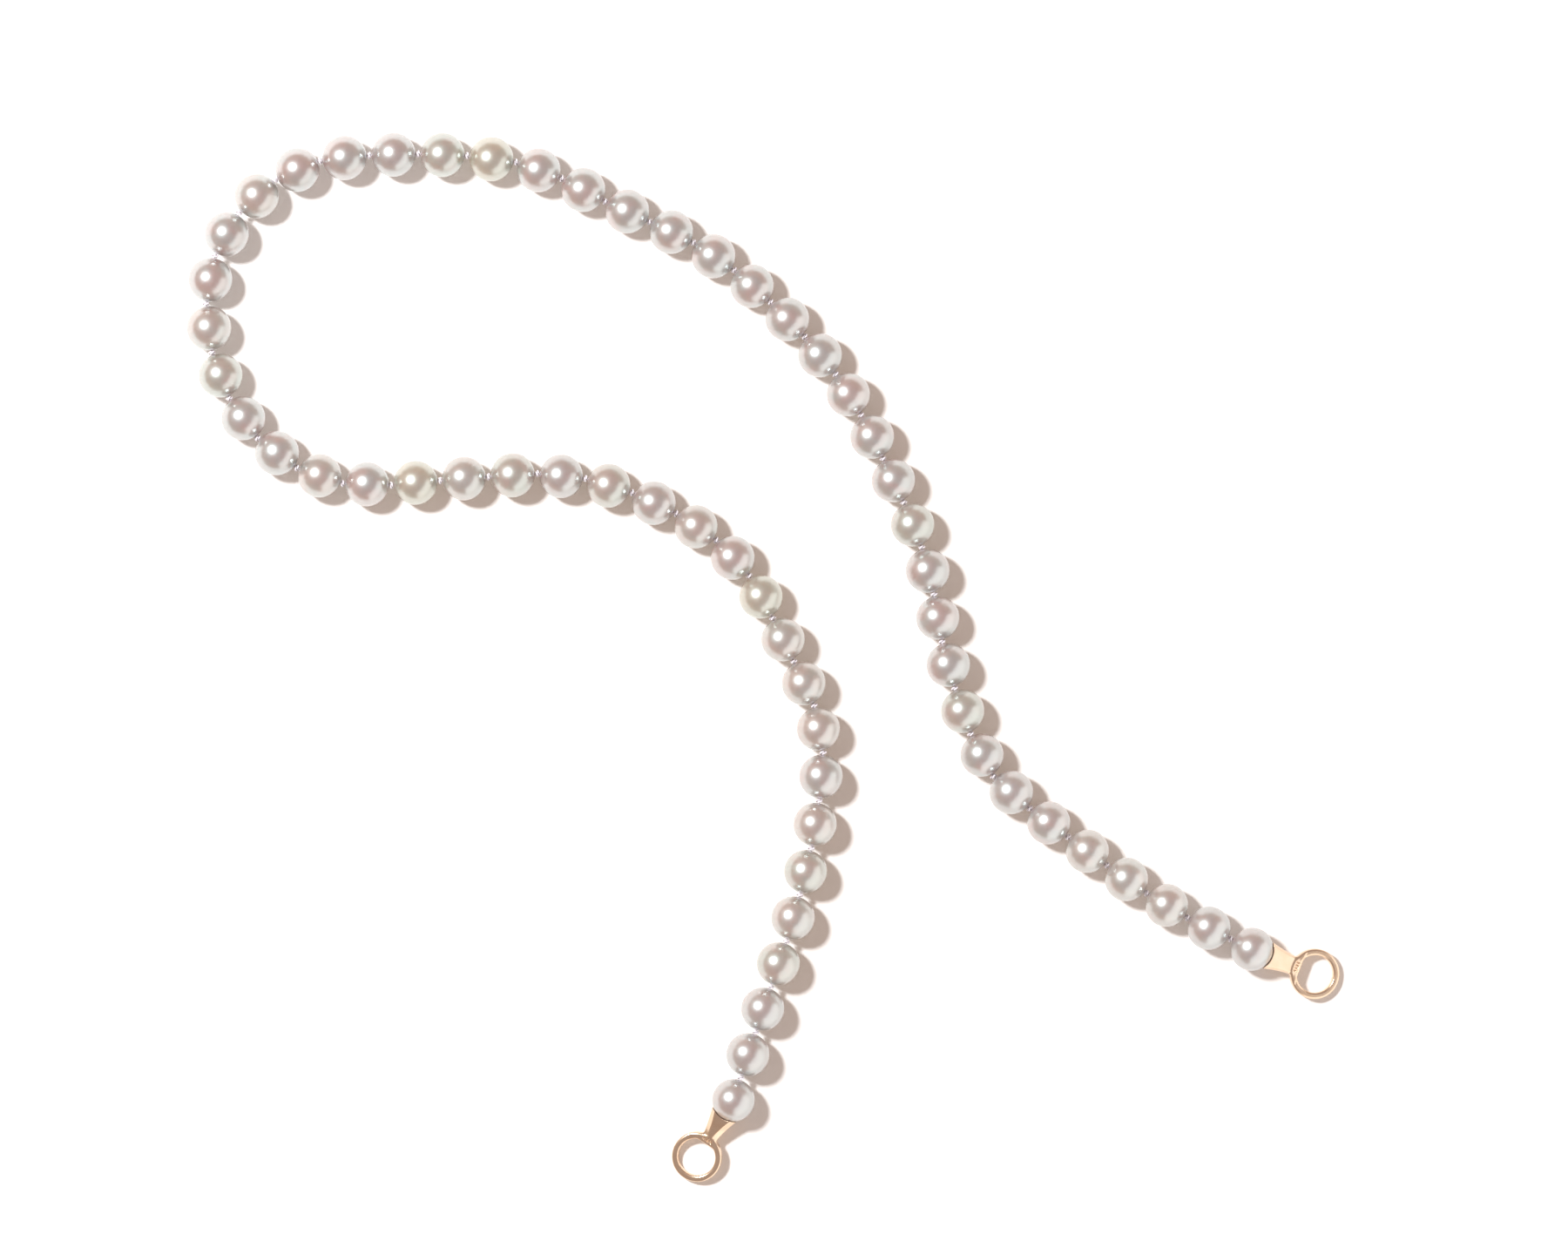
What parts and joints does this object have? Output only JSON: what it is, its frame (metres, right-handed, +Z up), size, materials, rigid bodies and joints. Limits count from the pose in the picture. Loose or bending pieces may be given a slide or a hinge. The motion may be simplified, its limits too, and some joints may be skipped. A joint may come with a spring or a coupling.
{
  "type": "pearl necklace",
  "caption": "Hand-knotted strand of round pearls lying open in a loop, with a gold cup-and-eye fitting on each end for a separate clasp.",
  "frame": {"origin": "on the table under the middle of the necklace's outline", "axes": "+X along the longer side of the laid-out necklace, towards the end fitting that lies apart; +Y towards the top of the loop; +Z up from the table"},
  "size_m": [0.1856, 0.169, 0.0072],
  "materials": {
    "pearl": "gloss",
    "silk": "satin",
    "rose_gold": "polished"
  },
  "bodies": {
    "pearl_01": {"pearl_01": "pearl"},
    "pearl_02": {"pearl_02": "pearl"},
    "pearl_03": {"pearl_03": "pearl"},
    "pearl_04": {"pearl_04": "pearl"},
    "pearl_05": {"pearl_05": "pearl"},
    "pearl_06": {"pearl_06": "pearl"},
    "pearl_07": {"pearl_07": "pearl"},
    "pearl_08": {"pearl_08": "pearl"},
    "pearl_09": {"pearl_09": "pearl"},
    "pearl_10": {"pearl_10": "pearl"},
    "pearl_11": {"pearl_11": "pearl"},
    "pearl_12": {"pearl_12": "pearl"},
    "pearl_13": {"pearl_13": "pearl"},
    "pearl_14": {"pearl_14": "pearl"},
    "pearl_15": {"pearl_15": "pearl"},
    "pearl_16": {"pearl_16": "pearl"},
    "pearl_17": {"pearl_17": "pearl"},
    "pearl_18": {"pearl_18": "pearl"},
    "pearl_19": {"pearl_19": "pearl"},
    "pearl_20": {"pearl_20": "pearl"},
    "pearl_21": {"pearl_21": "pearl"},
    "pearl_22": {"pearl_22": "pearl"},
    "pearl_23": {"pearl_23": "pearl"},
    "pearl_24": {"pearl_24": "pearl"},
    "pearl_25": {"pearl_25": "pearl"},
    "pearl_26": {"pearl_26": "pearl"},
    "pearl_27": {"pearl_27": "pearl"},
    "pearl_28": {"pearl_28": "pearl"},
    "pearl_29": {"pearl_29": "pearl"},
    "pearl_30": {"pearl_30": "pearl"},
    "pearl_31": {"pearl_31": "pearl"},
    "pearl_32": {"pearl_32": "pearl"},
    "pearl_33": {"pearl_33": "pearl"},
    "pearl_34": {"pearl_34": "pearl"},
    "pearl_35": {"pearl_35": "pearl"},
    "pearl_36": {"pearl_36": "pearl"},
    "pearl_37": {"pearl_37": "pearl"},
    "pearl_38": {"pearl_38": "pearl"},
    "pearl_39": {"pearl_39": "pearl"},
    "pearl_40": {"pearl_40": "pearl"},
    "pearl_41": {"pearl_41": "pearl"},
    "pearl_42": {"pearl_42": "pearl"},
    "pearl_43": {"pearl_43": "pearl"},
    "pearl_44": {"pearl_44": "pearl"},
    "pearl_45": {"pearl_45": "pearl"},
    "pearl_46": {"pearl_46": "pearl"},
    "pearl_47": {"pearl_47": "pearl"},
    "pearl_48": {"pearl_48": "pearl"},
    "pearl_49": {"pearl_49": "pearl"},
    "pearl_50": {"pearl_50": "pearl"},
    "pearl_51": {"pearl_51": "pearl"},
    "pearl_52": {"pearl_52": "pearl"},
    "pearl_53": {"pearl_53": "pearl"},
    "pearl_54": {"pearl_54": "pearl"},
    "pearl_55": {"pearl_55": "pearl"},
    "pearl_56": {"pearl_56": "pearl"},
    "pearl_57": {"pearl_57": "pearl"},
    "pearl_58": {"pearl_58": "pearl"},
    "end_fitting_right": {"end_fitting_right": "rose_gold"},
    "end_fitting_lower": {"end_fitting_lower": "rose_gold"}
  },
  "joints": [
    {"name": "knot_01_bend", "type": "hinge", "parent": "pearl_02", "child": "pearl_01", "pos_m": [0.07507, -0.04517, 0.00349], "axis": [0.3111, 0.635, -0.7071], "range_deg": [-40.2, 39.7]},
    {"name": "knot_02_bend", "type": "hinge", "parent": "pearl_03", "child": "pearl_02", "pos_m": [0.0681, -0.04178, 0.00348], "axis": [-0.3355, -0.6225, -0.7071], "range_deg": [-36.6, 43]},
    {"name": "knot_03_bend", "type": "hinge", "parent": "pearl_04", "child": "pearl_03", "pos_m": [0.0615, -0.03786, 0.00348], "axis": [0.3845, 0.5935, 0.7071], "range_deg": [-43, 36.6]},
    {"name": "knot_04_bend", "type": "hinge", "parent": "pearl_05", "child": "pearl_04", "pos_m": [0.05515, -0.03338, 0.00349], "axis": [-0.4121, -0.5746, 0.7071], "range_deg": [-40.4, 39.5]},
    {"name": "knot_05_bend", "type": "hinge", "parent": "pearl_06", "child": "pearl_05", "pos_m": [0.04891, -0.02883, 0.00348], "axis": [-0.4198, -0.569, -0.7071], "range_deg": [-39.6, 40.3]},
    {"name": "knot_06_bend", "type": "hinge", "parent": "pearl_07", "child": "pearl_06", "pos_m": [0.04272, -0.02421, 0.0035], "axis": [0.447, 0.5479, -0.7071], "range_deg": [-36.5, 43.1]},
    {"name": "knot_07_bend", "type": "hinge", "parent": "pearl_08", "child": "pearl_07", "pos_m": [0.0369, -0.01903, 0.0035], "axis": [-0.5556, -0.4373, 0.7071], "range_deg": [-51.8, 23]},
    {"name": "knot_08_bend", "type": "hinge", "parent": "pearl_09", "child": "pearl_08", "pos_m": [0.03327, -0.01222, 0.00349], "axis": [0.6474, 0.2844, 0.7071], "range_deg": [-45.5, 33.5]},
    {"name": "knot_09_bend", "type": "hinge", "parent": "pearl_10", "child": "pearl_09", "pos_m": [0.03068, -0.00488, 0.00351], "axis": [0.6749, 0.2111, -0.7071], "range_deg": [-37.2, 42.5]},
    {"name": "knot_10_bend", "type": "hinge", "parent": "pearl_11", "child": "pearl_10", "pos_m": [0.02862, 0.00264, 0.0035], "axis": [-0.6902, -0.1537, -0.7071], "range_deg": [-35.9, 43.6]},
    {"name": "knot_11_bend", "type": "hinge", "parent": "pearl_12", "child": "pearl_11", "pos_m": [0.02731, 0.01026, 0.00351], "axis": [0.6915, 0.1476, 0.7071], "range_deg": [-36.6, 43.1]},
    {"name": "knot_12_bend", "type": "hinge", "parent": "pearl_13", "child": "pearl_12", "pos_m": [0.02537, 0.01785, 0.00352], "axis": [-0.672, -0.22, 0.7071], "range_deg": [-34.2, 45.1]},
    {"name": "knot_13_bend", "type": "hinge", "parent": "pearl_14", "child": "pearl_13", "pos_m": [0.02247, 0.02506, 0.00351], "axis": [-0.6485, -0.2819, -0.7071], "range_deg": [-42.3, 37.5]},
    {"name": "knot_14_bend", "type": "hinge", "parent": "pearl_15", "child": "pearl_14", "pos_m": [0.01917, 0.03211, 0.00353], "axis": [0.6362, 0.3087, -0.7071], "range_deg": [-41.2, 38.7]},
    {"name": "knot_15_bend", "type": "hinge", "parent": "pearl_16", "child": "pearl_15", "pos_m": [0.01564, 0.03913, 0.00352], "axis": [-0.6161, -0.3471, 0.7071], "range_deg": [-36, 43.6]},
    {"name": "knot_16_bend", "type": "hinge", "parent": "pearl_17", "child": "pearl_16", "pos_m": [0.01152, 0.04571, 0.00352], "axis": [0.5732, 0.4141, 0.7071], "range_deg": [-34.2, 45]},
    {"name": "knot_17_bend", "type": "hinge", "parent": "pearl_18", "child": "pearl_17", "pos_m": [0.00651, 0.05176, 0.00354], "axis": [0.5239, 0.4749, -0.7071], "range_deg": [-43.6, 36]},
    {"name": "knot_18_bend", "type": "hinge", "parent": "pearl_19", "child": "pearl_18", "pos_m": [0.00099, 0.05732, 0.00353], "axis": [-0.4841, -0.5154, -0.7071], "range_deg": [-42.8, 36.9]},
    {"name": "knot_19_bend", "type": "hinge", "parent": "pearl_20", "child": "pearl_19", "pos_m": [-0.00488, 0.06246, 0.00354], "axis": [0.433, 0.559, 0.7071], "range_deg": [-34.8, 44.5]},
    {"name": "knot_20_bend", "type": "hinge", "parent": "pearl_21", "child": "pearl_20", "pos_m": [-0.0114, 0.0669, 0.00355], "axis": [-0.3518, -0.6134, 0.7071], "range_deg": [-33.1, 45.9]},
    {"name": "knot_21_bend", "type": "hinge", "parent": "pearl_22", "child": "pearl_21", "pos_m": [-0.01846, 0.07025, 0.00354], "axis": [-0.2993, -0.6406, -0.7071], "range_deg": [-40.5, 39.4]},
    {"name": "knot_22_bend", "type": "hinge", "parent": "pearl_23", "child": "pearl_22", "pos_m": [-0.0256, 0.07354, 0.00356], "axis": [0.3123, 0.6344, -0.7071], "range_deg": [-37.9, 41.8]},
    {"name": "knot_23_bend", "type": "hinge", "parent": "pearl_24", "child": "pearl_23", "pos_m": [-0.03259, 0.07721, 0.00355], "axis": [-0.283, -0.648, 0.7071], "range_deg": [-33.8, 45.2]},
    {"name": "knot_24_bend", "type": "hinge", "parent": "pearl_25", "child": "pearl_24", "pos_m": [-0.03996, 0.07982, 0.00356], "axis": [0.164, 0.6878, 0.7071], "range_deg": [-30.4, 47.7]},
    {"name": "knot_25_bend", "type": "hinge", "parent": "pearl_26", "child": "pearl_25", "pos_m": [-0.04782, 0.08083, 0.00357], "axis": [0.0586, 0.7047, -0.7071], "range_deg": [-43.6, 36]},
    {"name": "knot_26_bend", "type": "hinge", "parent": "pearl_27", "child": "pearl_26", "pos_m": [-0.05568, 0.08113, 0.00356], "axis": [-0.0035, -0.7071, -0.7071], "range_deg": [-42.7, 37]},
    {"name": "knot_27_bend", "type": "hinge", "parent": "pearl_28", "child": "pearl_27", "pos_m": [-0.06355, 0.08091, 0.00357], "axis": [-0.0464, 0.7056, 0.7071], "range_deg": [-36.9, 42.8]},
    {"name": "knot_28_bend", "type": "hinge", "parent": "pearl_29", "child": "pearl_28", "pos_m": [-0.07145, 0.08009, 0.00357], "axis": [0.1751, -0.6851, 0.7071], "range_deg": [-26.2, 50.2]},
    {"name": "knot_29_bend", "type": "hinge", "parent": "pearl_29", "child": "pearl_30", "pos_m": [-0.0787, 0.07705, 0.00357], "axis": [0.529, -0.8227, 0.2079], "range_deg": [-39.1, 31]},
    {"name": "knot_30_bend", "type": "hinge", "parent": "pearl_30", "child": "pearl_31", "pos_m": [-0.08453, 0.07167, 0.00358], "axis": [-0.7685, 0.6051, 0.2079], "range_deg": [-39.5, 32.4]},
    {"name": "knot_31_bend", "type": "hinge", "parent": "pearl_31", "child": "pearl_32", "pos_m": [-0.08838, 0.06476, 0.00356], "axis": [0.9206, -0.3306, -0.2079], "range_deg": [-31.5, 39.8]},
    {"name": "knot_32_bend", "type": "hinge", "parent": "pearl_32", "child": "pearl_33", "pos_m": [-0.08979, 0.05704, 0.00357], "axis": [-0.7068, 0.0206, -0.7071], "range_deg": [-25.8, 50.5]},
    {"name": "knot_33_bend", "type": "hinge", "parent": "pearl_33", "child": "pearl_34", "pos_m": [-0.08882, 0.04916, 0.00357], "axis": [-0.6868, -0.1683, 0.7071], "range_deg": [-48.3, 29.3]},
    {"name": "knot_34_bend", "type": "hinge", "parent": "pearl_34", "child": "pearl_35", "pos_m": [-0.08607, 0.04181, 0.00355], "axis": [0.6247, 0.3312, 0.7071], "range_deg": [-48.9, 28.2]},
    {"name": "knot_35_bend", "type": "hinge", "parent": "pearl_35", "child": "pearl_36", "pos_m": [-0.08152, 0.03539, 0.00356], "axis": [-0.5086, -0.4912, -0.7071], "range_deg": [-25.7, 50.6]},
    {"name": "knot_36_bend", "type": "hinge", "parent": "pearl_36", "child": "pearl_37", "pos_m": [-0.07524, 0.0306, 0.00355], "axis": [0.3318, 0.6244, -0.7071], "range_deg": [-24.5, 51.1]},
    {"name": "knot_37_bend", "type": "hinge", "parent": "pearl_37", "child": "pearl_38", "pos_m": [-0.06784, 0.02811, 0.00354], "axis": [0.1264, 0.6957, 0.7071], "range_deg": [-50, 26.4]},
    {"name": "knot_38_bend", "type": "hinge", "parent": "pearl_38", "child": "pearl_39", "pos_m": [-0.05996, 0.02784, 0.00355], "axis": [0.022, -0.7068, 0.7071], "range_deg": [-44.7, 34.5]},
    {"name": "knot_39_bend", "type": "hinge", "parent": "pearl_39", "child": "pearl_40", "pos_m": [-0.05216, 0.02859, 0.00353], "axis": [-0.061, 0.7045, -0.7071], "range_deg": [-40.6, 39.3]},
    {"name": "knot_40_bend", "type": "hinge", "parent": "pearl_40", "child": "pearl_41", "pos_m": [-0.04437, 0.02919, 0.00354], "axis": [0.0485, -0.7054, -0.7071], "range_deg": [-40.5, 39.4]},
    {"name": "knot_41_bend", "type": "hinge", "parent": "pearl_41", "child": "pearl_42", "pos_m": [-0.03651, 0.02967, 0.00353], "axis": [-0.015, -0.7069, 0.7071], "range_deg": [-32.7, 46.1]},
    {"name": "knot_42_bend", "type": "hinge", "parent": "pearl_42", "child": "pearl_43", "pos_m": [-0.02877, 0.02887, 0.00352], "axis": [0.1388, 0.6934, 0.7071], "range_deg": [-31.5, 47.1]},
    {"name": "knot_43_bend", "type": "hinge", "parent": "pearl_43", "child": "pearl_44", "pos_m": [-0.02127, 0.02661, 0.00353], "axis": [-0.2535, -0.6601, -0.7071], "range_deg": [-45.4, 33.6]},
    {"name": "knot_44_bend", "type": "hinge", "parent": "pearl_44", "child": "pearl_45", "pos_m": [-0.01419, 0.02327, 0.00352], "axis": [0.3464, 0.6164, -0.7071], "range_deg": [-45.2, 33.9]},
    {"name": "knot_45_bend", "type": "hinge", "parent": "pearl_45", "child": "pearl_46", "pos_m": [-0.00772, 0.019, 0.00352], "axis": [0.4565, 0.54, 0.7071], "range_deg": [-29.1, 48.5]},
    {"name": "knot_46_bend", "type": "hinge", "parent": "pearl_46", "child": "pearl_47", "pos_m": [-0.00237, 0.01327, 0.00352], "axis": [-0.5732, -0.414, 0.7071], "range_deg": [-28.5, 49]},
    {"name": "knot_47_bend", "type": "hinge", "parent": "pearl_47", "child": "pearl_48", "pos_m": [0.00136, 0.00645, 0.0035], "axis": [0.6282, 0.3247, -0.7071], "range_deg": [-41.7, 38.1]},
    {"name": "knot_48_bend", "type": "hinge", "parent": "pearl_48", "child": "pearl_49", "pos_m": [0.00476, -0.00053, 0.00352], "axis": [-0.6391, -0.3025, -0.7071], "range_deg": [-40.7, 39.2]},
    {"name": "knot_49_bend", "type": "hinge", "parent": "pearl_49", "child": "pearl_50", "pos_m": [0.00802, -0.00763, 0.0035], "axis": [-0.6733, -0.216, 0.7071], "range_deg": [-29, 48.6]},
    {"name": "knot_50_bend", "type": "hinge", "parent": "pearl_50", "child": "pearl_51", "pos_m": [0.00948, -0.01521, 0.0035], "axis": [0.706, 0.0389, 0.7071], "range_deg": [-27.5, 49.5]},
    {"name": "knot_51_bend", "type": "hinge", "parent": "pearl_51", "child": "pearl_52", "pos_m": [0.00886, -0.02297, 0.00351], "axis": [-0.7019, 0.0855, -0.7071], "range_deg": [-43, 36.6]},
    {"name": "knot_52_bend", "type": "hinge", "parent": "pearl_52", "child": "pearl_53", "pos_m": [0.0076, -0.03063, 0.00349], "axis": [0.6929, -0.1409, -0.7071], "range_deg": [-42.7, 36.9]},
    {"name": "knot_53_bend", "type": "hinge", "parent": "pearl_53", "child": "pearl_54", "pos_m": [0.00578, -0.03812, 0.00349], "axis": [0.6828, -0.1836, 0.7071], "range_deg": [-38, 41.8]},
    {"name": "knot_54_bend", "type": "hinge", "parent": "pearl_54", "child": "pearl_55", "pos_m": [0.00358, -0.04559, 0.00349], "axis": [-0.673, 0.2171, 0.7071], "range_deg": [-37.8, 42]},
    {"name": "knot_55_bend", "type": "hinge", "parent": "pearl_55", "child": "pearl_56", "pos_m": [0.00103, -0.05285, 0.00348], "axis": [0.6688, -0.2296, -0.7071], "range_deg": [-39.3, 40.6]},
    {"name": "knot_56_bend", "type": "hinge", "parent": "pearl_56", "child": "pearl_57", "pos_m": [-0.00143, -0.06017, 0.00349], "axis": [-0.6722, 0.2194, -0.7071], "range_deg": [-39.1, 40.8]},
    {"name": "knot_57_bend", "type": "hinge", "parent": "pearl_57", "child": "pearl_58", "pos_m": [-0.00377, -0.06756, 0.00347], "axis": [-0.674, 0.2138, 0.7071], "range_deg": [-39.9, 40]},
    {"name": "end_fitting_right_swivel", "type": "hinge", "parent": "pearl_01", "child": "end_fitting_right", "pos_m": [0.07853, -0.04688, 0.00348], "axis": [0.9127, -0.3632, -0.1873], "range_deg": [-90, 90]},
    {"name": "end_fitting_lower_swivel", "type": "hinge", "parent": "pearl_58", "child": "end_fitting_lower", "pos_m": [-0.00493, -0.07121, 0.00346], "axis": [-0.5312, -0.8274, -0.1825], "range_deg": [-90, 90]}
  ]
}
